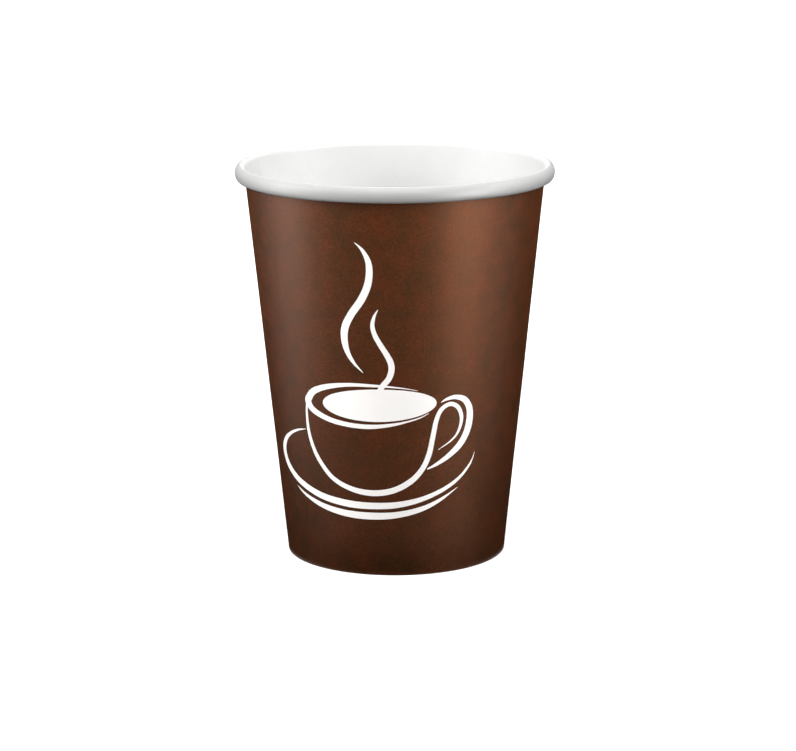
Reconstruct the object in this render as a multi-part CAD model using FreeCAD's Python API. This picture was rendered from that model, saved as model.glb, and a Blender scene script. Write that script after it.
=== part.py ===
import FreeCAD, Part
import os
from math import asin, atan2, cos, degrees, hypot, radians, sin, tan

# A single-wall paper hot cup of the 12 oz size, made from two pieces of coated board.
# The wall is one fan-shaped sheet: wrapped into a cone, lapped and sealed up one side,
# rolled outward into the rim bead at the top, and folded inward into a hem at the foot.
# The bottom is a disc whose edge is turned down into a skirt. The skirt is sealed
# between the wall and the wall's hem, so the disc stands clear of the table.
# Origin: centre of the foot, on the table. +Z up, -Y the front, the side seam on -X.

# Driving dimensions, in millimetres and degrees
rim_diameter = 89.5  # across the outside of the rolled rim
height = 111.0  # table to the top of the rim
foot_diameter = 61.8  # across the outside of the wall, carried straight down to the table
wall_board = 0.35  # thickness of the wall's coated board
bottom_board = 0.30  # thickness of the bottom's lighter board

curl_radius = 1.28  # roll of the rim over its top, to the middle of the board
curl_side = 1.70  # upright stretch on the outside of the rim
curl_tuck = 50.0  # how far the roll goes on inside itself once it points up again
curl_clearance = 0.11  # free gap between the roll's end and the lapped seam

fold_radius = 0.05  # inside radius of the hem's two sharp folds
recess_depth = 7.0  # table to the underside of the bottom disc
hem_gap = 1.0  # the hem's cut edge to the underside of the bottom disc
bend_radius = 0.35  # inside radius where the disc turns down into its skirt
skirt_gap = 0.25  # free gap between the skirt's cut edge and the fold under it

lap_width = 6.0  # overlap of the side seam, measured round the foot
lap_ramp = 1.2  # length round the foot in which the outer flap climbs over the inner one

PARTS_FOLDER = "parts"
AXIS_BASE = FreeCAD.Vector(0, 0, 0)
AXIS = FreeCAD.Vector(0, 0, 1)
SEAM_ANGLE = 180.0
FULL_TURN = 360.0

# Sizes worked out from the driving ones
rim_radius = rim_diameter / 2
foot_radius = foot_diameter / 2
half_board = wall_board / 2
fold_mid_radius = fold_radius + half_board
lap_angle = degrees(lap_width / foot_radius)
ramp_angle = degrees(lap_ramp / foot_radius)

# The printed face of the wall is a straight line in section. It runs from the foot
# to a tangent on the inside of the rim's roll, and that sets the cup's taper.
curl_centre = (rim_radius - half_board - curl_radius, height - half_board - curl_radius)
lean_of_centre = atan2(curl_centre[0] - foot_radius, curl_centre[1])
reach_of_centre = hypot(curl_centre[0] - foot_radius, curl_centre[1])
taper = lean_of_centre - asin((curl_radius - half_board) / reach_of_centre)
wall_turn = degrees(taper)

# The roll's lower half is as large as the wall, the lap and the clearance leave room for.
under_centre_z = curl_centre[1] - curl_side
board_overhang = rim_radius - half_board - foot_radius
room_beside_wall = board_overhang * cos(taper) - under_centre_z * sin(taper)
under_radius = (room_beside_wall - 3 * half_board - curl_clearance) / (1 + cos(taper))
under_centre = (rim_radius - half_board - under_radius, under_centre_z)

# The hem lies parallel to the wall, a skirt's thickness inside it.
hem_height = recess_depth - hem_gap
hem_pitch = wall_board + bottom_board
fold_flat = (hem_pitch - 2 * fold_mid_radius) / cos(taper)
fold_centre_z = half_board + fold_mid_radius
outer_fold_x = foot_radius + (fold_centre_z * sin(taper) - half_board - fold_mid_radius) / cos(taper)
outer_fold = (outer_fold_x, fold_centre_z)
inner_fold = (outer_fold_x - fold_flat, fold_centre_z)


def moved(point, direction, distance):
    """The point, moved along a direction in the section plane."""
    return (point[0] + direction[0] * distance, point[1] + direction[1] * distance)


def on_circle(centre, radius, angle):
    """The point of a circle at an angle, in degrees from the outward direction."""
    return moved(centre, (cos(radians(angle)), sin(radians(angle))), radius)


def vector(point):
    """A section point as a point in space, in the plane through the cup's axis."""
    return FreeCAD.Vector(point[0], 0, point[1])


def line(start, end):
    """A straight edge between two section points."""
    return Part.LineSegment(vector(start), vector(end)).toShape()


def arc(centre, radius, start_angle, end_angle):
    """An arc edge about a section point."""
    angles = (start_angle, (start_angle + end_angle) / 2, end_angle)
    return Part.Arc(*[vector(on_circle(centre, radius, a)) for a in angles]).toShape()


def along_wall(z, offset):
    """The point at a height on the wall, at an offset from the board's middle towards the print."""
    from_print = offset - half_board
    x = foot_radius + z * tan(taper) + from_print / cos(taper)
    return (x, z)


def along_hem(z, offset):
    """The same for the folded hem, whose printed side faces the cup's axis."""
    x = along_wall(z, 0)[0] - (hem_pitch + offset) / cos(taper)
    return (x, z)


def board_line(offset):
    """The edges of one surface of the wall's board, from the hem's cut edge to the roll's end."""
    fold = fold_mid_radius + offset
    curl = curl_radius - offset
    under = under_radius - offset
    hem_end = along_hem(hem_height, offset)
    hem_foot = on_circle(inner_fold, fold, 180 - wall_turn)
    wall_foot = on_circle(outer_fold, fold, -wall_turn)
    wall_top = on_circle(curl_centre, curl, 180 - wall_turn)
    return [
        line(hem_end, hem_foot),
        arc(inner_fold, fold, 180 - wall_turn, 270),
        line(on_circle(inner_fold, fold, 270), on_circle(outer_fold, fold, 270)),
        arc(outer_fold, fold, -90, -wall_turn),
        line(wall_foot, wall_top),
        arc(curl_centre, curl, 180 - wall_turn, 0),
        line(on_circle(curl_centre, curl, 0), on_circle(under_centre, under, 0)),
        arc(under_centre, under, 0, -180 - curl_tuck),
    ]


def board_section(inside, outside):
    """The cut face of the wall's board between two offsets from its middle."""
    white_side = board_line(inside)
    print_side = board_line(outside)
    hem_cut = line(along_hem(hem_height, outside), along_hem(hem_height, inside))
    end_angle = -180 - curl_tuck
    roll_cut = line(
        on_circle(under_centre, under_radius - inside, end_angle),
        on_circle(under_centre, under_radius - outside, end_angle),
    )
    edges = [hem_cut] + white_side + [roll_cut] + print_side[::-1]
    return Part.Face(Part.Wire(edges))


def turned(shape, angle):
    """A copy of the shape, turned about the cup's axis."""
    copy = shape.copy()
    copy.rotate(AXIS_BASE, AXIS, angle)
    return copy


def spun(face, start_angle, sweep):
    """The solid that a section face sweeps about the cup's axis."""
    return turned(face, start_angle).revolve(AXIS_BASE, AXIS, sweep)


def slab(low, high):
    """A round slab between two heights, wider than the cup, used to trim other solids."""
    return Part.makeCylinder(rim_diameter, high - low, FreeCAD.Vector(0, 0, low))


def make_wall():
    """The wall: a ring of single board, closed by the ramp and double board of the lap."""
    lap_start = SEAM_ANGLE - lap_angle / 2
    lap_end = lap_start + lap_angle
    ramp_start = lap_start - ramp_angle
    single = board_section(-half_board, half_board)
    lifted = board_section(half_board, 3 * half_board)
    double = board_section(-half_board, 3 * half_board)
    ring = spun(single, lap_end, FULL_TURN - lap_angle - ramp_angle)

    # The outer flap leaves the ring and comes down again on top of the inner flap.
    # The fold at the foot stays level with the table there, pressed flat.
    above_table = slab(0, 2 * height)
    ramp_ends = [turned(single, ramp_start).OuterWire, turned(lifted, lap_start).OuterWire]
    ramp = Part.makeLoft(ramp_ends, True, True).common(above_table)
    lap = spun(double, lap_start, lap_angle).common(above_table)
    pressed_fold = spun(single, ramp_start, ramp_angle).common(slab(0, fold_centre_z))
    return ring.fuse([ramp, lap, pressed_fold])


def make_bottom():
    """The bottom: a disc turned down into a skirt that fills the space inside the hem."""
    skirt_end = wall_board + fold_radius + skirt_gap
    disc_top = recess_depth + bottom_board
    bend_outer = bend_radius + bottom_board

    # The bend is tangent to the disc and to the skirt, which leans with the wall.
    bend_z = disc_top - bend_outer
    outer_line_x = along_wall(bend_z, -half_board)[0]
    bend_centre = (outer_line_x - bend_outer / cos(taper), bend_z)
    skirt_outer_end = along_wall(skirt_end, -half_board)
    skirt_inner_end = along_wall(skirt_end, -half_board - bottom_board)
    outside = [
        line((0, disc_top), on_circle(bend_centre, bend_outer, 90)),
        arc(bend_centre, bend_outer, 90, -wall_turn),
        line(on_circle(bend_centre, bend_outer, -wall_turn), skirt_outer_end),
    ]
    skirt_cut = line(skirt_outer_end, skirt_inner_end)
    inside = [
        line(skirt_inner_end, on_circle(bend_centre, bend_radius, -wall_turn)),
        arc(bend_centre, bend_radius, -wall_turn, 90),
        line(on_circle(bend_centre, bend_radius, 90), (0, recess_depth)),
    ]
    middle = line((0, recess_depth), (0, disc_top))
    section = Part.Face(Part.Wire(outside + [skirt_cut] + inside + [middle]))
    return spun(section, 0, FULL_TURN)


def main():
    os.makedirs(PARTS_FOLDER, exist_ok=True)
    pieces = {"side_wall": make_wall(), "bottom_disc": make_bottom()}
    for name, solid in pieces.items():
        solid.exportStep(os.path.join(PARTS_FOLDER, name + ".step"))
        print(name, "solids", len(solid.Solids), "valid", solid.isValid(), "volume", round(solid.Volume, 1))


main()
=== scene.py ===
# %% [markdown]
# A paper coffee cup
# The real cup is two pieces of coated board. The wall is a fan-shaped sheet, wrapped into a cone,
# lapped up one side, rolled outward at the top and folded in at the foot. The bottom is a disc
# with its edge turned down. The frame holds both at their real size. This lesson builds the same
# two sheets again as finer meshes, prints the wall, and gives each face of the board its finish.

# %% Load the frame
from math import asin, atan2, cos, degrees, hypot, pi, radians, sin, tan

import bpy
import numpy as np
from mathutils import Matrix, Vector, geometry, noise


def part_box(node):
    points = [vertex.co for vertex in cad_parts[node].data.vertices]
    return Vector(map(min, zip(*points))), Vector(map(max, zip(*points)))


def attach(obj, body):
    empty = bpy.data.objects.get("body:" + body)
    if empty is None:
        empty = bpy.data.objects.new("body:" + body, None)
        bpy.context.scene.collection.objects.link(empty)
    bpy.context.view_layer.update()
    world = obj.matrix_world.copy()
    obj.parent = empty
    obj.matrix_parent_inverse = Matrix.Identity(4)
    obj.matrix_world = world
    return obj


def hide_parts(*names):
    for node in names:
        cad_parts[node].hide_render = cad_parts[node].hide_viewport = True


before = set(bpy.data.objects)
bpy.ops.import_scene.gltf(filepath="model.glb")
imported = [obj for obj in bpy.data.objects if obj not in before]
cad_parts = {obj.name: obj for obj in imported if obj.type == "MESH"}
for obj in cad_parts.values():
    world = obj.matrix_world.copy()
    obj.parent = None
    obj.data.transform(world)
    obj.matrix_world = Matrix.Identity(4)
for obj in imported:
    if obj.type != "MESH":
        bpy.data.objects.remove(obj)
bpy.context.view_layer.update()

# %% [markdown]
# Sizes
# Everything is in metres, so a millimetre gets a name. The rim's width and the cup's height come
# from the frame's own box. The board, the roll and the hem are too small to read from a box, so
# they are named here with the real cup's values.

# %% Sizes of the cup
MM = 0.001

wall_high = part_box("side_wall")[1]
rim_radius = round(wall_high.x / MM, 2) * MM
height = round(wall_high.z / MM, 2) * MM
foot_radius = 30.9 * MM  # outside of the wall, carried straight down to the table

wall_board = 0.35 * MM
bottom_board = 0.30 * MM
half_board = wall_board / 2

curl_radius = 1.28 * MM  # roll of the rim over its top, to the middle of the board
curl_side = 1.70 * MM  # how far the centre of the roll's lower half lies under the upper one
curl_tuck = 50.0  # degrees that the roll goes on inside itself once it points up again
curl_clearance = 0.11 * MM  # free gap between the roll's end and the lapped seam

fold_radius = 0.05 * MM  # inside radius of the hem's two sharp folds
recess_depth = 7.0 * MM  # table to the underside of the bottom
hem_gap = 1.0 * MM  # the hem's cut edge to the underside of the bottom
bend_radius = 0.35 * MM  # inside radius where the bottom turns down into its skirt
skirt_gap = 0.25 * MM  # the skirt's cut edge to the fold under it

lap_width = 6.0 * MM  # overlap of the side seam, measured round the foot
lap_ramp = 1.2 * MM  # length in which the outer flap climbs over the inner one
seam_angle = 180.0
front_angle = 270.0
print("rim radius", rim_radius, "height", height, "foot radius", foot_radius)

# %% [markdown]
# The section of the board
# Seen in section, the wall's board is one line: down the hem, round two sharp folds, up the long
# straight wall, over the top of the roll and round under it. It could be drawn as a curve and
# bevelled, but a list of points, each with the direction that the printed side faces, is easier
# to sweep, to thicken and to print on. The wall leans so that it meets the roll without a kink.
# The outside of a rolled rim isn't quite round. It is a soft oval, taller than it is deep.

# %% The wall's lean and the centres of its curves
curl_centre = (rim_radius - half_board - curl_radius, height - half_board - curl_radius)
reach = hypot(curl_centre[0] - foot_radius, curl_centre[1])
lean = atan2(curl_centre[0] - foot_radius, curl_centre[1]) - asin((curl_radius - half_board) / reach)

under_z = curl_centre[1] - curl_side
room = (rim_radius - half_board - foot_radius) * cos(lean) - under_z * sin(lean)
under_radius = (room - 3 * half_board - curl_clearance) / (1 + cos(lean))
under_centre = (rim_radius - half_board - under_radius, under_z)

hem_height = recess_depth - hem_gap
hem_pitch = wall_board + bottom_board
fold_mid = fold_radius + half_board
fold_z = half_board + fold_mid
outer_fold = (foot_radius + (fold_z * sin(lean) - half_board - fold_mid) / cos(lean), fold_z)
inner_fold = (outer_fold[0] - (hem_pitch - 2 * fold_mid) / cos(lean), fold_z)
print("lean in degrees", round(degrees(lean), 3), "under radius in mm", round(under_radius / MM, 3))


# %% Points along the section
def straight(start, end, facing, steps):
    """Points from start towards end, the end left out, all with one facing."""
    shares = [i / steps for i in range(steps)]
    return [
        (start[0] + (end[0] - start[0]) * k, start[1] + (end[1] - start[1]) * k, facing[0], facing[1])
        for k in shares
    ]


def bend(centre, radius, first, last, towards, steps):
    """Points round an arc, the last left out. towards is 1 if the print faces out of it, or -1."""
    points = []
    for i in range(steps):
        angle = radians(first + (last - first) * i / steps)
        x, z = cos(angle), sin(angle)
        points.append((centre[0] + radius * x, centre[1] + radius * z, x * towards, z * towards))
    return points


def on_wall(z):
    """The middle of the wall's board at a height."""
    return (foot_radius + z * tan(lean) - half_board / cos(lean), z)


turn = degrees(lean)
out_of_wall = (cos(lean), -sin(lean))
into_cup = (-cos(lean), sin(lean))
hem_end = (on_wall(hem_height)[0] - hem_pitch / cos(lean), hem_height)
hem_foot = (inner_fold[0] - fold_mid * cos(lean), inner_fold[1] + fold_mid * sin(lean))
wall_foot = (outer_fold[0] + fold_mid * cos(lean), outer_fold[1] - fold_mid * sin(lean))
wall_top = (curl_centre[0] - curl_radius * cos(lean), curl_centre[1] + curl_radius * sin(lean))
side_x = rim_radius - half_board


def bulge(steps):
    """Points down the outside of the roll, a soft oval, the last left out."""
    half_tall = (height - half_board - under_z + under_radius) / 2
    middle_z = height - half_board - half_tall
    points = []
    for i in range(steps):
        angle = radians(90 - 180 * i / steps)
        deep = curl_radius if angle > 0 else under_radius
        x, z = side_x - deep * (1 - cos(angle)), middle_z + half_tall * sin(angle)
        out = Vector((cos(angle) / deep, sin(angle) / half_tall)).normalized()
        points.append((x, z, -out.x, -out.y))
    return points


HEM_ROWS = 6
INNER_FOLD_ROWS = 4
OUTER_FOLD_ROWS = 5
WALL_ROWS = 28
TOP_ROWS = 8
BULGE_ROWS = 22
TUCK_ROWS = 12

section = straight(hem_end, hem_foot, into_cup, HEM_ROWS)
section += bend(inner_fold, fold_mid, 180 - turn, 270, 1, INNER_FOLD_ROWS)
section += straight((inner_fold[0], half_board), (outer_fold[0], half_board), (0, -1), 1)
section += bend(outer_fold, fold_mid, -90, -turn, 1, OUTER_FOLD_ROWS)
first_wall_row = len(section)
section += straight(wall_foot, wall_top, out_of_wall, WALL_ROWS)
last_wall_row = len(section)
section += bend(curl_centre, curl_radius, 180 - turn, 90, -1, TOP_ROWS)
rim_row = len(section)
section += bulge(BULGE_ROWS)
section += bend(under_centre, under_radius, -90, -180 - curl_tuck, -1, TUCK_ROWS)

# One more point, which only gives the end of the roll its direction
section += bend(under_centre, under_radius, -180 - curl_tuck, -360, -1, 1)
print("rows along the board", len(section), "of which wall rows", last_wall_row - first_wall_row)

# %% [markdown]
# Wrapping the sheet
# The sheet starts at the inner flap's cut edge, goes once round and carries on over the start
# by the width of the lap. Just before the lap it climbs by one thickness of board, so that
# the outer flap lies on the inner one. Board is never perfectly even, so the wall and the roll
# also wander by a few hundredths of a millimetre. That is what makes a long highlight live.

# %% Where the sheet goes as it wraps
lap_angle = degrees(lap_width / foot_radius)
ramp_angle = degrees(lap_ramp / foot_radius)
lap_start = seam_angle - lap_angle / 2
COLUMN = 1.5  # degrees between two columns of the mesh
RAMP_STEPS = 4
LAP_STEPS = 8
GLUE = 0.004 * MM  # the sealed film between the two flaps
WANDER_WALL = 0.05 * MM
WANDER_ROLL = 0.025 * MM
WANDER_SIZE = 21 * MM  # from one hollow of the board to the next
CALM_FOOT = 12 * MM  # the hem keeps the wall true up to about here
PRESSED_HEIGHT = 4 * MM
NUDGE = 0.25  # rows or degrees to each side, over which a slope is measured
SHORTEST_SPAN = 0.02 * MM

ring_steps = round((360 - ramp_angle) / COLUMN)
ring_columns = [lap_start + (360 - ramp_angle) * i / ring_steps for i in range(ring_steps)]
ramp_columns = [lap_start + 360 - ramp_angle * (1 - i / RAMP_STEPS) for i in range(RAMP_STEPS)]
lap_columns = [lap_start + 360 + lap_angle * i / LAP_STEPS for i in range(LAP_STEPS + 1)]
columns = ring_columns + ramp_columns + lap_columns


def smooth(share):
    """An even start and an even end, from 0 to 1."""
    share = min(max(share, 0.0), 1.0)
    return share * share * (3 - 2 * share)


def section_at(row):
    """The section's point at a row, which may lie between two rows."""
    low = min(int(row), len(section) - 2)
    share = row - low
    return [a + (b - a) * share for a, b in zip(section[low], section[low + 1])]


def climb(angle):
    """How much of one board's thickness the sheet has climbed on its way over the inner flap."""
    return smooth((angle - (lap_start + 360 - ramp_angle)) / ramp_angle) * (wall_board + GLUE)


def rise(angle, row):
    """How far the board lies off its plain cone, along the way that its print faces."""
    x, z = section_at(row)[:2]
    reach = WANDER_WALL * smooth(z / CALM_FOOT) if row < last_wall_row else WANDER_ROLL
    if row < first_wall_row:
        reach = 0
    place = Vector((x * cos(radians(angle)), x * sin(radians(angle)), z)) / WANDER_SIZE
    return climb(angle) + reach * noise.noise(place)


def press(angle, row):
    """How far the fold is pressed up at the lap, where two boards lie under the cup's weight."""
    height_in_fold = section_at(row)[1] / PRESSED_HEIGHT
    after_lap = (angle - lap_start - lap_angle) / ramp_angle
    both = (wall_board + GLUE) * (1 - smooth(after_lap)) + climb(angle)
    return both * (1 - smooth(height_in_fold - fold_z / PRESSED_HEIGHT))


def placed(angle, row, offset):
    """A point of the sheet and the way its printed side faces there."""
    x, z, facing_x, facing_z = section_at(row)
    off = offset + rise(angle, row)
    turned = radians(angle)
    low, high = max(row - NUDGE, 0), min(row + NUDGE, len(section) - 1)
    span = hypot(*[a - b for a, b in zip(section_at(high)[:2], section_at(low)[:2])])
    slope_up = (rise(angle, high) - rise(angle, low)) / max(span, SHORTEST_SPAN)
    slope_round = (rise(angle + NUDGE, row) - rise(angle - NUDGE, row)) / (2 * radians(NUDGE) * x)
    facing = Vector((facing_x * cos(turned), facing_x * sin(turned), facing_z))
    up = Vector((-facing_z * cos(turned), -facing_z * sin(turned), facing_x))
    round_way = Vector((-sin(turned), cos(turned), 0))
    point = Vector((x * cos(turned), x * sin(turned), z + press(angle, row))) + facing * off
    return point, (facing - up * slope_up - round_way * slope_round).normalized()


print("columns round the cup", len(columns), "lap in degrees", round(lap_angle, 2))

# %% [markdown]
# The drawing
# The print is a flat flood of brown with a line drawing left white: a steaming cup on a saucer.
# It could be an image, but lines drawn as shapes stay sharp at any distance. Each line is
# a brush stroke: a few places that the brush goes through, with its width there in the third
# number. A smooth curve joins them. Units are millimetres: round the wall from the front, and up
# from the table.

# %% Brush strokes
ART_RADIUS = 36.5  # of the wall, half-way up the drawing
STROKE_STEP = 0.45  # between two points of an outline
FINEST_LINE = 0.06


def brush(places):
    """The outline of a stroke through places of (across, up, width)."""
    places = [np.array(p, float) for p in places]
    ends = [2 * places[0] - places[1]] + places + [2 * places[-1] - places[-2]]
    line = []

    # A Catmull-Rom curve goes through every place, with no corner
    for a, b, c, d in zip(ends, ends[1:], ends[2:], ends[3:]):
        steps = max(2, round(np.linalg.norm((c - b)[:2]) / STROKE_STEP))
        for k in np.arange(steps) / steps:
            line.append(b + k * (c - a + k * (2 * a - 5 * b + 4 * c - d + k * (3 * b - 3 * c + d - a))) / 2)
    line.append(places[-1])
    line = np.array(line)
    along = np.gradient(line[:, :2], axis=0)
    along /= np.linalg.norm(along, axis=1)[:, None]
    across = np.stack([-along[:, 1], along[:, 0]], 1) * np.maximum(line[:, 2:], FINEST_LINE) / 2
    return np.concatenate([line[:, :2] + across, (line[:, :2] - across)[::-1]])


def oval(across, up, half_width, half_height, tilt):
    """The outline of an ellipse, turned by a tilt in degrees."""
    steps = round(2 * pi * half_width / STROKE_STEP)
    angles = np.arange(steps) * 2 * pi / steps
    x, z = half_width * np.cos(angles), half_height * np.sin(angles)
    c, s = cos(radians(tilt)), sin(radians(tilt))
    return np.stack([across + x * c - z * s, up + x * s + z * c], 1)


mouth = brush([
    (15.6, 53.85, 0.1), (12.5, 54.5, 0.25), (8.0, 55.05, 0.5), (2.0, 55.35, 0.85), (-4.0, 55.2, 1.05),
    (-10.0, 54.15, 1.45), (-14.7, 52.35, 1.8), (-17.0, 49.9, 2.2), (-17.2, 48.6, 2.2), (-15.4, 46.6, 1.8),
    (-10.5, 44.75, 1.5), (-4.5, 43.75, 1.35), (2.0, 43.5, 1.25), (8.0, 44.1, 0.9), (13.0, 45.1, 0.5),
    (16.5, 46.1, 0.35), (18.8, 47.2, 0.1),
])
coffee = oval(4.5, 49.65, 16.5, 4.65, 1.5)
bowl = brush([
    (-17.9, 48.6, 0.6), (-18.3, 45.0, 0.8), (-18.1, 40.0, 1.1), (-16.65, 35.2, 1.3), (-14.0, 31.15, 1.4),
    (-10.2, 27.55, 1.4), (-4.6, 25.2, 1.5), (2.0, 24.25, 1.7), (8.5, 25.1, 1.7), (13.8, 27.7, 1.7),
    (17.25, 31.15, 1.6), (19.2, 35.3, 1.6), (20.15, 40.0, 1.5), (21.1, 45.0, 1.35), (22.55, 48.1, 1.25),
    (25.15, 49.4, 1.2), (27.7, 48.1, 1.2), (28.95, 45.0, 1.15), (28.25, 41.5, 0.8), (26.2, 39.0, 0.5),
    (22.0, 36.5, 0.1),
])
handle = brush([
    (22.3, 50.1, 0.1), (24.0, 50.9, 0.8), (26.7, 51.25, 1.25), (29.5, 50.25, 1.65), (31.3, 47.8, 2.0),
    (31.75, 44.6, 2.2), (31.0, 40.8, 2.2), (28.9, 37.4, 2.0), (25.4, 34.5, 1.55), (21.8, 32.4, 1.0),
    (18.8, 31.1, 0.4),
])
saucer = brush([
    (-19.3, 40.6, 0.1), (-23.0, 39.7, 0.6), (-27.0, 38.0, 0.9), (-30.4, 35.7, 1.5), (-32.4, 32.6, 2.3),
    (-31.5, 29.3, 2.2), (-28.2, 26.45, 1.95), (-23.0, 24.05, 1.85), (-15.0, 21.85, 1.9), (-6.0, 20.7, 2.0),
    (2.0, 20.5, 1.9), (10.0, 20.95, 1.75), (17.8, 22.5, 1.4), (24.8, 25.05, 1.15), (29.8, 28.0, 0.9),
    (33.1, 31.4, 0.6), (34.4, 34.4, 0.1),
])
saucer_foot = brush([
    (-26.2, 22.9, 0.1), (-22.0, 21.0, 0.9), (-15.0, 19.0, 1.5), (-7.0, 17.8, 1.9), (1.0, 17.5, 2.05),
    (9.0, 17.9, 1.85), (16.8, 19.35, 1.5), (22.8, 21.6, 1.0), (28.8, 24.8, 0.1),
])
tall_steam = brush([
    (-0.4, 95.5, 0.1), (1.4, 93.6, 0.8), (2.8, 90.6, 1.4), (3.1, 87.3, 1.7), (2.5, 83.4, 1.85),
    (0.75, 79.4, 1.95), (-2.0, 75.3, 1.95), (-3.8, 71.6, 2.0), (-4.15, 68.0, 1.85), (-3.4, 64.5, 1.4),
    (-1.75, 61.6, 0.85), (0.7, 58.9, 0.1),
])
short_steam = brush([
    (5.1, 76.9, 0.1), (4.1, 75.0, 0.7), (3.55, 72.4, 1.1), (4.1, 69.8, 1.3), (5.4, 67.2, 1.4),
    (7.0, 64.5, 1.5), (8.2, 62.0, 1.65), (8.4, 59.8, 1.65), (7.65, 57.4, 1.6), (5.95, 55.3, 1.5),
    (5.0, 53.6, 1.5),
])
strokes = [mouth, bowl, handle, saucer, saucer_foot, tall_steam, short_steam]
print("outline points", sum(len(shape) for shape in strokes + [coffee]))


# %% Which places are left white
def inside(shape, points):
    """For each point, whether it lies inside a closed outline."""
    x, z = points[:, :1], points[:, 1:]
    x0, z0 = shape[:, 0], shape[:, 1]
    x1, z1 = np.roll(x0, -1), np.roll(z0, -1)
    spans = (z0 > z) != (z1 > z)
    level = np.where(z1 == z0, 1.0, z1 - z0)
    return (np.sum(spans & (x < x0 + (z - z0) * (x1 - x0) / level), axis=1) % 2) == 1


def inside_stroke(stroke, points):
    """A stroke that bends sharply may fold over itself, so it is tested link by link."""
    half = len(stroke) // 2
    left, right = stroke[:half], stroke[half:][::-1]
    hit = np.zeros(len(points), bool)
    for i in range(half - 1):
        link = np.array([left[i], left[i + 1], right[i + 1], right[i]])
        near = np.all((points >= link.min(0)) & (points <= link.max(0)), axis=1)
        hit[near] |= inside(link, points[near])
    return hit


def left_white(points):
    """For each point of the flat drawing, whether the board shows there."""
    in_strokes = [inside_stroke(stroke, points) for stroke in strokes]
    return inside(coffee, points) | np.any(in_strokes, axis=0)


drop = coffee.mean(axis=0, keepdims=True)
print("middle of the coffee is left white", bool(left_white(drop)[0]))

# %% [markdown]
# The wall's mesh
# A grid of quads covers both faces of the sheet. Where the drawing is, the grid's cells and the
# strokes' outlines are cut together in the flat, by Blender's constrained triangulation, and
# only then wrapped round the cone. Every corner gets the true direction of the surface, so
# the cuts don't show in the shine. The alternative, a mask in the material, would blur when
# the model is baked to a texture.

# %% Grid of the sheet
PRINT, DRAWING, WHITE, EDGE, BARE, ROLL = range(6)
BLEED_ROW = 4  # the print runs on round the foot, as far up the hem as this row

verts, vertex_facing = [], []
faces, finishes, corner_normals = [], [], []


def add_vertex(angle, row, side):
    """Adds a point of the sheet, on its printed side (1) or its white side (-1)."""
    point, facing = placed(angle, row, side * half_board)
    verts.append(point)
    vertex_facing.append(facing * side)
    return len(verts) - 1


def add_face(corners, finish, normals=None):
    """Adds a face with its finish and a normal for each corner."""
    faces.append(corners)
    finishes.append(finish)
    corner_normals.append(normals or [vertex_facing[c] for c in corners])


row_count = len(section)
grid = {
    side: [[add_vertex(angle, row, side) for row in range(row_count)] for angle in columns]
    for side in (1, -1)
}
print("points in both faces of the sheet", len(verts))

# %% The part of the grid that holds the drawing
drawn = np.concatenate(strokes + [coffee])
across_of = [radians(angle - front_angle) * ART_RADIUS for angle in columns]
up_of = [section[row][1] / MM for row in range(row_count)]
first_column = max(i for i, x in enumerate(across_of) if x < drawn[:, 0].min())
last_column = min(i for i, x in enumerate(across_of) if x > drawn[:, 0].max())
first_row = max(r for r in range(first_wall_row, last_wall_row) if up_of[r] < drawn[:, 1].min())
last_row = min(r for r in range(first_wall_row, last_wall_row) if up_of[r] > drawn[:, 1].max())
print("drawing spans columns", first_column, last_column, "rows", first_row, last_row)


# %% Cut the strokes into the grid
def ring_edges(start, count):
    """The edges of a closed outline."""
    return [(start + i, start + (i + 1) % count) for i in range(count)]


cut_points, cut_edges, cut_grid = [], [], []
for i in range(first_column, last_column + 1):
    for r in range(first_row, last_row + 1):
        cut_points.append((across_of[i], up_of[r]))
        cut_grid.append(grid[1][i][r])
per_column = last_row - first_row + 1
for i in range(last_column - first_column + 1):
    for r in range(per_column):
        here = i * per_column + r
        if r + 1 < per_column:
            cut_edges.append((here, here + 1))
        if i < last_column - first_column:
            cut_edges.append((here, here + per_column))
for shape in strokes + [coffee]:
    cut_edges += ring_edges(len(cut_points), len(shape))
    cut_points += [tuple(p) for p in shape]

EVERY_TRIANGLE = 0  # keeps what lies outside the strokes too
CUT_TOLERANCE = 1e-4
cut = geometry.delaunay_2d_cdt([Vector(p) for p in cut_points], cut_edges, [], EVERY_TRIANGLE, CUT_TOLERANCE)
flat_points, flat_faces, came_from = cut[0], cut[2], cut[3]
wall_span = up_of[first_wall_row + 1] - up_of[first_wall_row]
cut_vertex = []
for point, sources in zip(flat_points, came_from):
    known = [s for s in sources if s < len(cut_grid)]
    if known:
        cut_vertex.append(cut_grid[known[0]])
        continue
    row = first_wall_row + (point.y - up_of[first_wall_row]) / wall_span
    cut_vertex.append(add_vertex(front_angle + degrees(point.x / ART_RADIUS), row, 1))
middles = np.array([np.mean([flat_points[c] for c in face], axis=0) for face in flat_faces])
white = left_white(middles)
print("triangles cut", len(flat_faces), "of which white", int(white.sum()))

# %% Faces of the sheet
for face, is_white in zip(flat_faces, white):
    corners = [cut_vertex[c] for c in face]
    if len(set(corners)) == 3:
        add_face(corners, DRAWING if is_white else PRINT)
for i in range(len(columns) - 1):
    for r in range(row_count - 2):
        a, b = grid[1][i], grid[1][i + 1]
        in_drawing = first_column <= i < last_column and first_row <= r < last_row
        if not in_drawing:
            printed = BLEED_ROW <= r < last_wall_row
            add_face([a[r], b[r], b[r + 1], a[r + 1]], PRINT if printed else BARE)
        a, b = grid[-1][i], grid[-1][i + 1]
        add_face([a[r + 1], b[r + 1], b[r], a[r]], ROLL if r >= rim_row else WHITE)


def add_cut_edge(print_side, white_side):
    """Closes the board's thickness along one cut edge."""
    for a, b, c, d in zip(print_side, print_side[1:], white_side[1:], white_side):
        normal = (verts[b] - verts[a]).cross(verts[d] - verts[a]).normalized()
        add_face([a, b, c, d], EDGE, [normal] * 4)


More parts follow.
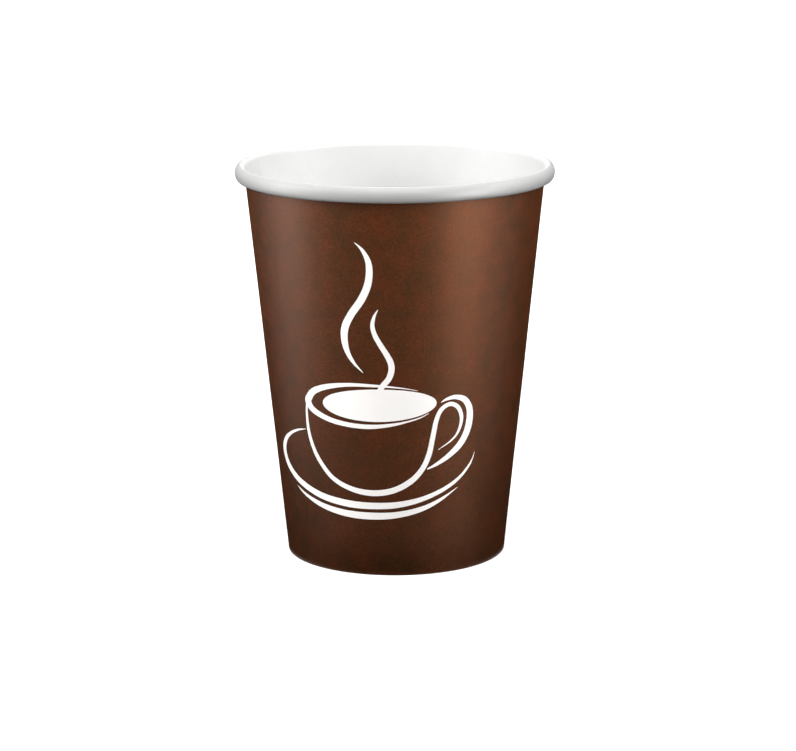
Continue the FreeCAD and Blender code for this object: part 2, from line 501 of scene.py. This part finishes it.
rows_kept = row_count - 1
add_cut_edge(grid[1][0][:rows_kept], grid[-1][0][:rows_kept])
add_cut_edge(grid[-1][-1][:rows_kept], grid[1][-1][:rows_kept])
add_cut_edge([c[0] for c in grid[-1]], [c[0] for c in grid[1]])
add_cut_edge([c[rows_kept - 1] for c in grid[1]], [c[rows_kept - 1] for c in grid[-1]])
print("faces of the wall", len(faces))


# %% Make the wall
def make_mesh(name, points, polygons, slots, normals):
    """A mesh object with a finish for each face and a normal for each corner."""
    mesh = bpy.data.meshes.new(name)
    mesh.from_pydata(points, [], polygons)
    mesh.polygons.foreach_set("material_index", slots)
    mesh.shade_smooth()
    mesh.normals_split_custom_set([n for face in normals for n in face])
    mesh.update()
    piece = bpy.data.objects.new(name, mesh)
    bpy.context.scene.collection.objects.link(piece)
    return piece


used = sorted({c for face in faces for c in face})
renumbered = {old: new for new, old in enumerate(used)}
wall = make_mesh(
    "printed_wall",
    [verts[c] for c in used],
    [[renumbered[c] for c in face] for face in faces],
    finishes,
    corner_normals,
)
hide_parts("side_wall")
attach(wall, "root")
print("wall vertices", len(wall.data.vertices), "polygons", len(wall.data.polygons))

# %% [markdown]
# The bottom
# The bottom is a separate round of lighter board. Its edge is turned down into a skirt that
# sits between the wall and the hem. A full round swept from a section gives it its true
# thickness. The middle crowns up a little, because the skirt is pushed outward when it is sealed.

# %% Section of the bottom
CROWN = 0.35 * MM
DISC_RINGS = 14
BEND_RINGS = 8
SKIRT_RINGS = 3
BOTTOM_COLUMNS = 180
SEAL = 0.004 * MM  # the sealed film between the skirt and the wall

disc_top = recess_depth + bottom_board
bend_outer = bend_radius + bottom_board
bend_z = disc_top - bend_outer
inner_face_x = on_wall(bend_z)[0] - (half_board + SEAL) / cos(lean)
bend_centre = (inner_face_x - bend_outer / cos(lean), bend_z)
bend_mid = bend_radius + bottom_board / 2
skirt_end = wall_board + fold_radius + skirt_gap
skirt_x = on_wall(skirt_end)[0] - (half_board + SEAL + bottom_board / 2) / cos(lean)

bottom_section = []
for i in range(DISC_RINGS):
    share = i / DISC_RINGS
    crown = CROWN * (1 - smooth(share))
    bottom_section.append((bend_centre[0] * share, recess_depth + bottom_board / 2 + crown, 0, 1))
bottom_section += bend(bend_centre, bend_mid, 90, -turn, 1, BEND_RINGS)
skirt_start = (bend_centre[0] + bend_mid * cos(lean), bend_centre[1] - bend_mid * sin(lean))
bottom_section += straight(skirt_start, (skirt_x, skirt_end), out_of_wall, SKIRT_RINGS)
bottom_section.append((skirt_x, skirt_end, *out_of_wall))
print("rings in the bottom", len(bottom_section))

# %% Make the bottom
COATED, PLAIN, CUT = range(3)
disc_points, disc_faces, disc_slots, disc_normals = [], [], [], []


def ring_of(x, z, facing_x, facing_z, offset):
    """One ring of the bottom, or one point at its middle, with its facings."""
    x, z = x + facing_x * offset, z + facing_z * offset
    count = BOTTOM_COLUMNS if x > 0 else 1
    start = len(disc_points)
    for i in range(count):
        angle = 2 * pi * i / BOTTOM_COLUMNS
        disc_points.append((x * cos(angle), x * sin(angle), z))
    return [start + i % count for i in range(BOTTOM_COLUMNS)]


def join_rings(inner, outer, slot, facings):
    """Faces between two rings, with the section's facing at each."""
    for i in range(BOTTOM_COLUMNS):
        j = (i + 1) % BOTTOM_COLUMNS
        corners, ways = [], []
        for ring, k, facing in ((inner, i, 0), (outer, i, 1), (outer, j, 1), (inner, j, 0)):
            if ring[k] in corners:
                continue
            angle = 2 * pi * k / BOTTOM_COLUMNS
            x, z = facings[facing]
            corners.append(ring[k])
            ways.append(Vector((x * cos(angle), x * sin(angle), z)))
        disc_faces.append(corners)
        disc_slots.append(slot)
        disc_normals.append(ways)


top_rings = [ring_of(*place, bottom_board / 2) for place in bottom_section]
low_rings = [ring_of(*place, -bottom_board / 2) for place in bottom_section]
for r in range(len(bottom_section) - 1):
    ways = [place[2:] for place in bottom_section[r:r + 2]]
    join_rings(top_rings[r], top_rings[r + 1], COATED, ways)
    join_rings(low_rings[r + 1], low_rings[r], PLAIN, [(-x, -z) for x, z in ways[::-1]])
join_rings(top_rings[-1], low_rings[-1], CUT, [(-sin(lean), -cos(lean))] * 2)
bottom = make_mesh("bottom", disc_points, disc_faces, disc_slots, disc_normals)
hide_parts("bottom_disc")
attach(bottom, "root")
print("bottom polygons", len(bottom.data.polygons))

# %% [markdown]
# Nodes and colours
# A hex value is how a colour is read off a screen. Blender works in linear light, so one function
# turns it. One more adds a node to a material, sets it and links it.


# %% Helpers for materials
def linear(hex_colour):
    """An sRGB hex colour as linear red, green, blue and alpha."""
    shares = [int(hex_colour[i:i + 2], 16) / 255 for i in (0, 2, 4)]
    return [s / 12.92 if s <= 0.04045 else ((s + 0.055) / 1.055) ** 2.4 for s in shares] + [1.0]


def add_node(tree, kind, settings=None, links=None):
    """Adds a node, sets its properties and inputs, and links sockets into it."""
    node = tree.nodes.new(kind)
    for name, value in (settings or {}).items():
        if isinstance(name, str) and hasattr(node, name):
            setattr(node, name, value)
        else:
            node.inputs[name].default_value = value
    for name, socket in (links or {}).items():
        tree.links.new(socket, node.inputs[name])
    return node


# %% [markdown]
# One recipe for all the board
# Every finish here is paper fibre, most of it under a thin film, so one function makes them all
# and each gets its own values. Soft clouds mix two tones, because fibre takes ink and coating
# unevenly. A finer noise is the grain. It speckles the colour, moves the sheen and gives a slight
# relief, and a light speck is also a little duller. Real fibres are about 0.03 mm wide, too fine
# to show from here, so the grain is drawn as coarse as it needs to be seen, 0.3 to 0.9 mm.

# %% Recipe for board
COATING_IOR = 1.5  # varnish, polythene and fibre are all close to this
GRAIN_DETAIL, CLOUD_DETAIL = 3.0, 5.0
FINER_NOISE = 0.6  # strength of each finer layer of noise against the one before it
GRAIN_SPAN = {"From Min": 0.3, "From Max": 0.7}  # noise seldom leaves its middle values
CLOUD_SPAN = {"From Min": 0.35, "From Max": 0.65}
SHEEN_SPREAD = 0.04  # of the roughness, to each side
DULLING = 0.15  # how much of the speckle goes into its saturation

# A fade is two heights in millimetres and the brightness at each
EVEN = (0.0, height / MM, 1.0, 1.0)
PRINT_FADE = (0.0, height / MM, 0.66, 1.34)
# Painted shade on the roll: darker than the inside film, and darkest low on its underside, where less light
# falls
ROLL_PAINTED_SHADE = (height / MM - 3.0, height / MM, 0.57, 0.74)


def board(
    name,
    colours,
    roughness,
    specular,
    tone,
    grain_mm,
    grain_height_mm,
    cloud_mm,
    gloss_tint="ffffff",
    fade=EVEN,
):
    """A finish of cup board: two tones in soft clouds, a fine grain, and the sheen of its coating."""
    material = bpy.data.materials.new(name)
    material.use_nodes = True
    tree = material.node_tree
    tree.nodes.clear()
    place = add_node(tree, "ShaderNodeTexCoord").outputs["Object"]
    grain = add_node(
        tree,
        "ShaderNodeTexNoise",
        {"Scale": 1 / (grain_mm * MM), "Detail": GRAIN_DETAIL, "Roughness": FINER_NOISE},
        {"Vector": place},
    )
    clouds = add_node(
        tree,
        "ShaderNodeTexNoise",
        {"Scale": 1 / (cloud_mm * MM), "Detail": CLOUD_DETAIL, "Roughness": FINER_NOISE},
        {"Vector": place},
    )
    patches = add_node(
        tree,
        "ShaderNodeMapRange",
        CLOUD_SPAN,
        {"Value": clouds.outputs["Fac"]},
    )
    two_tone = add_node(
        tree,
        "ShaderNodeMix",
        {"data_type": "RGBA", 6: linear(colours[0]), 7: linear(colours[1])},
        {0: patches.outputs["Result"]},
    )
    speckle = add_node(
        tree,
        "ShaderNodeMapRange",
        {**GRAIN_SPAN, "To Min": 1 - tone, "To Max": 1 + tone},
        {"Value": grain.outputs["Fac"]},
    )
    low, high, low_value, high_value = fade
    up_the_cup = add_node(
        tree,
        "ShaderNodeMapRange",
        {"From Min": low * MM, "From Max": high * MM, "To Min": low_value, "To Max": high_value},
        {"Value": add_node(tree, "ShaderNodeSeparateXYZ", links={0: place}).outputs["Z"]},
    )
    value = add_node(
        tree,
        "ShaderNodeMath",
        {"operation": "MULTIPLY"},
        {0: speckle.outputs["Result"], 1: up_the_cup.outputs["Result"]},
    )
    dulling = add_node(
        tree,
        "ShaderNodeMapRange",
        {**GRAIN_SPAN, "To Min": 1 + DULLING * tone, "To Max": 1 - DULLING * tone},
        {"Value": grain.outputs["Fac"]},
    )
    shaded = add_node(
        tree,
        "ShaderNodeHueSaturation",
        links={
            "Color": two_tone.outputs[2],
            "Value": value.outputs[0],
            "Saturation": dulling.outputs["Result"],
        },
    )
    sheen = add_node(
        tree,
        "ShaderNodeMapRange",
        {**GRAIN_SPAN, "To Min": roughness - SHEEN_SPREAD, "To Max": roughness + SHEEN_SPREAD},
        {"Value": grain.outputs["Fac"]},
    )
    bump = add_node(
        tree,
        "ShaderNodeBump",
        {"Strength": 1.0, "Distance": grain_height_mm * MM},
        {"Height": grain.outputs["Fac"]},
    )
    surface = add_node(
        tree,
        "ShaderNodeBsdfPrincipled",
        {"IOR": COATING_IOR, "Specular IOR Level": specular, "Specular Tint": linear(gloss_tint)},
        {
            "Base Color": shaded.outputs["Color"],
            "Roughness": sheen.outputs["Result"],
            "Normal": bump.outputs["Normal"],
        },
    )
    add_node(tree, "ShaderNodeOutputMaterial", links={"Surface": surface.outputs["BSDF"]})
    return material


print("recipe with fades for the print", PRINT_FADE, "and the roll", ROLL_PAINTED_SHADE)

# %% [markdown]
# Finishes of the board
# Cup board is white paperboard. The outside is offset-printed and sealed with a satin varnish.
# The inside is coated with a thin film of polythene, which keeps the drink in and gives a soft,
# slightly waxy shine. The cut edges and the underside of the bottom are plain, matt board.

# %% Printed and varnished outside
# Brown offset ink under satin varnish: deep and warm, a little patchy, with a broad reddish sheen.
# It is darker towards the foot.
brown_ink = board(
    "brown_offset_ink",
    colours=("3f1d0b", "2e1909"),
    roughness=0.48,
    specular=0.22,
    tone=0.28,
    grain_mm=0.6,
    grain_height_mm=0.035,
    cloud_mm=5.5,
    gloss_tint="ffb48c",
    fade=PRINT_FADE,
)

# The drawing is bare board under the same varnish: a clean, faintly warm white.
white_reserve = board(
    "white_board_under_varnish",
    colours=("fdfaf7", "faf7f4"),
    roughness=0.50,
    specular=0.5,
    tone=0.01,
    grain_mm=0.8,
    grain_height_mm=0.02,
    cloud_mm=5.0,
)
print("outside", brown_ink.name, white_reserve.name)

# %% Coated inside
# Polythene film on white board: an even, neutral white with a soft, slightly waxy shine. It is
# written greyer than it looks, because light that bounces about in the cup brightens it. The roll
# is the same film with painted shade: it is darker than the inside all over, and darker still lower
# down on its underside, where less light falls.
polythene = {
    "colours": ("cacac9", "c8c8c7"),
    "roughness": 0.46,
    "specular": 0.3,
    "tone": 0.012,
    "grain_mm": 0.9,
    "grain_height_mm": 0.02,
    "cloud_mm": 6.0,
}
polythene_white = board("polythene_coated_white", **polythene)
# The roll's finish is the film with painted shade: darker all over, and darker still lower down
roll_white_painted_shade = board("polythene_roll_painted_shade", **polythene, fade=ROLL_PAINTED_SHADE)
print("inside", polythene_white.name, roll_white_painted_shade.name)

# %% Uncoated board
# A cut edge is open fibre: creamy, matt and speckled.
raw_edge = board(
    "raw_cut_edge",
    colours=("e8e1d5", "dcd3c4"),
    roughness=0.85,
    specular=0.3,
    tone=0.06,
    grain_mm=0.3,
    grain_height_mm=0.03,
    cloud_mm=1.0,
)

# The back of the board has no coating: matt, and a shade creamier than the film.
plain_board = board(
    "plain_uncoated_board",
    colours=("ece8df", "e6e1d7"),
    roughness=0.80,
    specular=0.3,
    tone=0.03,
    grain_mm=0.6,
    grain_height_mm=0.03,
    cloud_mm=4.0,
)
print("uncoated", raw_edge.name, plain_board.name)

# %% Give the pieces their finishes, in the order of the slot numbers
for material in (brown_ink, white_reserve, polythene_white, raw_edge, plain_board, roll_white_painted_shade):
    wall.data.materials.append(material)
for material in (polythene_white, plain_board, raw_edge):
    bottom.data.materials.append(material)
print("finishes", [m.name for m in wall.data.materials])

# %% [markdown]
# Camera
# The photograph was taken with a long lens, a little above the rim. Its distance, height and
# focal length came from fitting the rim's ellipse and the wall's edges. The aim is a little
# below the cup's middle, which puts the cup as high in the frame as in the photograph.

# %% Camera
CAMERA_AZIMUTH = 15.0  # degrees round from the front, towards +X
CAMERA_ELEVATION = 12.336
CAMERA_DISTANCE = 0.8541  # metres, to the cup's middle
CAMERA_ROLL = -0.257
PHOTO_WIDTH, PHOTO_HEIGHT = 796, 751
FOCAL_PIXELS = 3010.8
CUP_MIDDLE_PIXEL = (395.77, 356.72)  # where the cup's middle lies in the photograph
SENSOR = 36.0
CLIP_NEAR, CLIP_FAR = 0.05, 20


def direction(round_by, up_by):
    """The direction from the cup at an angle round from the camera and an angle up, in degrees."""
    angle, up = radians(CAMERA_AZIMUTH + round_by), radians(up_by)
    return Vector((sin(angle) * cos(up), -cos(angle) * cos(up), sin(up)))


middle = Vector((0, 0, height / 2))
back = direction(0, CAMERA_ELEVATION)
lens = bpy.data.cameras.new("camera")
lens.sensor_width = SENSOR
lens.lens = FOCAL_PIXELS * SENSOR / PHOTO_WIDTH
lens.clip_start, lens.clip_end = CLIP_NEAR, CLIP_FAR
camera = bpy.data.objects.new("camera", lens)
camera.location = middle + back * CAMERA_DISTANCE
aim_right = (PHOTO_WIDTH / 2 - CUP_MIDDLE_PIXEL[0]) / FOCAL_PIXELS
aim_down = (PHOTO_HEIGHT / 2 - CUP_MIDDLE_PIXEL[1]) / FOCAL_PIXELS
facing = back.to_track_quat("Z", "Y").to_matrix()
facing = facing @ Matrix.Rotation(-aim_right, 3, "Y") @ Matrix.Rotation(-aim_down, 3, "X")
camera.rotation_euler = (facing @ Matrix.Rotation(radians(CAMERA_ROLL), 3, "Z")).to_euler()
bpy.context.scene.collection.objects.link(camera)
bpy.context.scene.camera = camera
print("lens in mm", round(lens.lens, 1))

# %% [markdown]
# Light
# Soft studio light comes from large softboxes: one above the camera, one at each side, one behind
# and one overhead for the inside of the cup. The wall leans outward as it goes up, so it mirrors
# what is low, and the softboxes hardly show in it. Two low strips, which only reflections see,
# make the two upright bands of shine on it and light nothing else.

# %% Lamps
SOFTBOX_DISTANCE = 0.60
STRIP_DISTANCE = 0.28


def add_lamp(name, round_by, up_by, width, tall, strength, is_strip=False):
    """A lamp aimed at the cup's middle. A strength of 1 lights a white card there to full white."""
    distance = STRIP_DISTANCE if is_strip else SOFTBOX_DISTANCE
    lamp = bpy.data.lights.new(name, "AREA")
    lamp.shape = "RECTANGLE"
    lamp.size, lamp.size_y = width, tall
    lamp.energy = strength * (pi * distance) ** 2
    piece = bpy.data.objects.new(name, lamp)
    way = direction(round_by, up_by)
    piece.location = middle + way * distance
    piece.rotation_euler = way.to_track_quat("Z", "Y").to_euler()
    piece.visible_camera = False
    piece.visible_diffuse = not is_strip
    bpy.context.scene.collection.objects.link(piece)


add_lamp("front_softbox", round_by=0, up_by=38, width=0.50, tall=0.40, strength=0.90)
add_lamp("left_softbox", round_by=-80, up_by=27, width=0.30, tall=0.30, strength=0.96)
add_lamp("right_softbox", round_by=80, up_by=27, width=0.25, tall=0.25, strength=0.80)
add_lamp("back_softbox", round_by=180, up_by=35, width=0.50, tall=0.30, strength=0.40)
add_lamp("overhead_softbox", round_by=0, up_by=89, width=0.40, tall=0.40, strength=0.18)
add_lamp("right_strip", round_by=53, up_by=0, width=0.14, tall=0.11, strength=1.68, is_strip=True)
add_lamp("left_strip", round_by=-81, up_by=2, width=0.09, tall=0.11, strength=0.80, is_strip=True)

# %% [markdown]
# Black cards
# At a flat angle the varnish mirrors a white room, which would bleach the cup's outline and its
# foot. A photographer puts black cards just out of sight against that. These are curved, and
# only reflections see them. Two stand behind the cup to its sides, two lie beside it, and one is
# a ring round its foot.

# %% A curved card
CARD_LIFT = 0.5 * MM  # above the floor
CARD_STEP = 7.5  # degrees from one column of its mesh to the next
FOOT_GAP = 0.4 * MM  # between the foot and the ring
NEAR_EDGE, RING_EDGE = 34 * MM, 46 * MM
FLOOR_EDGE, WALL_EDGE = 105 * MM, 120 * MM
CARD_TALL = 200 * MM

# A profile is a list of (distance from the cup's axis, height)
BENT_CARD = ((NEAR_EDGE, CARD_LIFT), (WALL_EDGE, CARD_LIFT), (WALL_EDGE, CARD_TALL))
FLOOR_CARD = ((RING_EDGE, CARD_LIFT), (FLOOR_EDGE, CARD_LIFT))
RING_CARD = ((foot_radius + FOOT_GAP, CARD_LIFT), (RING_EDGE, CARD_LIFT))


def add_card(name, first, last, profile):
    """A card round part of the cup, between two angles counted round from the camera."""
    mesh = bpy.data.meshes.new(name)
    steps, per_step = round(abs(last - first) / CARD_STEP), len(profile)
    points = []
    for i in range(steps + 1):
        angle = radians(CAMERA_AZIMUTH + first + (last - first) * i / steps)
        points += [(sin(angle) * reach, -cos(angle) * reach, tall) for reach, tall in profile]
    starts = [i for i in range(per_step * steps) if i % per_step < per_step - 1]
    mesh.from_pydata(points, [], [(i, i + 1, i + 1 + per_step, i + per_step) for i in starts])
    piece = bpy.data.objects.new(name, mesh)
    piece.visible_camera = piece.visible_diffuse = piece.visible_shadow = False
    bpy.context.scene.collection.objects.link(piece)
    return piece


print("cards reach from", round(RING_CARD[0][0] / MM, 1), "to", round(WALL_EDGE / MM, 1), "mm")

# %% Cards in place
# Matt black card: nearly black, with no shine, so it takes the light out of a reflection.
CARD_BLACK = "101010"
black = bpy.data.materials.new("black_card")
black.use_nodes = True
tree = black.node_tree
tree.nodes.clear()
dark = add_node(tree, "ShaderNodeBsdfDiffuse", {"Color": linear(CARD_BLACK)})
add_node(tree, "ShaderNodeOutputMaterial", links={"Surface": dark.outputs["BSDF"]})
cards = [
    add_card("right_black_card", first=92, last=172, profile=BENT_CARD),
    add_card("left_black_card", first=-104, last=-172, profile=BENT_CARD),
    add_card("left_floor_card", first=-62, last=-104, profile=FLOOR_CARD),
    add_card("right_floor_card", first=62, last=92, profile=FLOOR_CARD),
    add_card("black_ring", first=-180, last=180, profile=RING_CARD),
]
for card in cards:
    card.data.materials.append(black)
print("black cards", [card.name for card in cards])

# %% [markdown]
# Floor and background
# The cup stands on white paper, which takes its soft shadow. Away from the cup the paper also
# glows, more and more until it is as white as the background, so the two meet without a line.
# Light that bounces off it onto the cup counts as coming from a grey one, because a large white
# floor would light the wall from below and flatten it. The background is done in the same way.

# %% Floor
FLOOR_SIZE = 6.0
half = FLOOR_SIZE / 2
floor_corners = [(-half, -half, 0), (half, -half, 0), (half, half, 0), (-half, half, 0)]
floor_mesh = bpy.data.meshes.new("floor")
floor_mesh.from_pydata(floor_corners, [], [(0, 1, 2, 3)])
floor = bpy.data.objects.new("floor", floor_mesh)
bpy.context.scene.collection.objects.link(floor)
print("floor", FLOOR_SIZE, "m across")

# %% Paper of the floor
# Matt white paper: even and without shine, so only the cup's shadow shows on it.
PAPER_WHITE = "d8d8d8"
BOUNCE_GREY = "606060"  # what it counts as for light that bounces onto the cup
GLOW_WHITE = "ffffff"
WHITE_FROM, WHITE_TO = 0.14, 0.45  # metres from the cup, where the glow starts to rise and stops
NEAR_GLOW = 0.45  # strength of the glow beside the cup
paper = bpy.data.materials.new("white_paper_floor")
paper.use_nodes = True
tree = paper.node_tree
tree.nodes.clear()


def seen_directly(tree):
    """1 for rays from the camera, and for reflected or refracted ones, else 0."""
    path = add_node(tree, "ShaderNodeLightPath")
    outputs = [path.outputs[name] for name in ("Is Camera Ray", "Is Glossy Ray", "Is Transmission Ray")]
    found = outputs[0]
    for output in outputs[1:]:
        larger = add_node(tree, "ShaderNodeMath", {"operation": "MAXIMUM"}, {0: found, 1: output})
        found = larger.outputs[0]
    return found


place = add_node(tree, "ShaderNodeTexCoord").outputs["Object"]
far = add_node(tree, "ShaderNodeVectorMath", {"operation": "LENGTH"}, {0: place})
glow = add_node(
    tree,
    "ShaderNodeMapRange",
    {
        "interpolation_type": "SMOOTHSTEP",
        "From Min": WHITE_FROM,
        "From Max": WHITE_TO,
        "To Min": NEAR_GLOW,
        "To Max": 1.0,
    },
    {"Value": far.outputs["Value"]},
)
lit_paper = add_node(tree, "ShaderNodeBsdfDiffuse", {"Color": linear(PAPER_WHITE)})
glowing = add_node(
    tree,
    "ShaderNodeEmission",
    {"Color": linear(GLOW_WHITE)},
    {"Strength": glow.outputs["Result"]},
)
bright_floor = add_node(
    tree,
    "ShaderNodeAddShader",
    links={0: lit_paper.outputs["BSDF"], 1: glowing.outputs["Emission"]},
)
dim_floor = add_node(tree, "ShaderNodeBsdfDiffuse", {"Color": linear(BOUNCE_GREY)})
floor_mix = add_node(
    tree,
    "ShaderNodeMixShader",
    links={0: seen_directly(tree), 1: dim_floor.outputs["BSDF"], 2: bright_floor.outputs["Shader"]},
)
add_node(tree, "ShaderNodeOutputMaterial", links={"Surface": floor_mix.outputs["Shader"]})
floor.data.materials.append(paper)
print("paper", paper.name, "with", len(tree.nodes), "nodes")

# %% Background
ROOM_LIGHT = 0.2  # what the cup gets of it
WHITE_LIGHT = 1.0  # what the camera and reflections see

world = bpy.data.worlds.new("studio")
world.use_nodes = True
tree = world.node_tree
tree.nodes.clear()
soft_room = add_node(tree, "ShaderNodeBackground", {"Color": linear(GLOW_WHITE), "Strength": ROOM_LIGHT})
white_wall = add_node(tree, "ShaderNodeBackground", {"Color": linear(GLOW_WHITE), "Strength": WHITE_LIGHT})
mixed = add_node(
    tree,
    "ShaderNodeMixShader",
    links={0: seen_directly(tree), 1: soft_room.outputs["Background"], 2: white_wall.outputs["Background"]},
)
add_node(tree, "ShaderNodeOutputWorld", links={"Surface": mixed.outputs["Shader"]})
bpy.context.scene.world = world
bpy.context.scene.view_settings.view_transform = "Standard"
print("background", world.name, "view", bpy.context.scene.view_settings.view_transform)
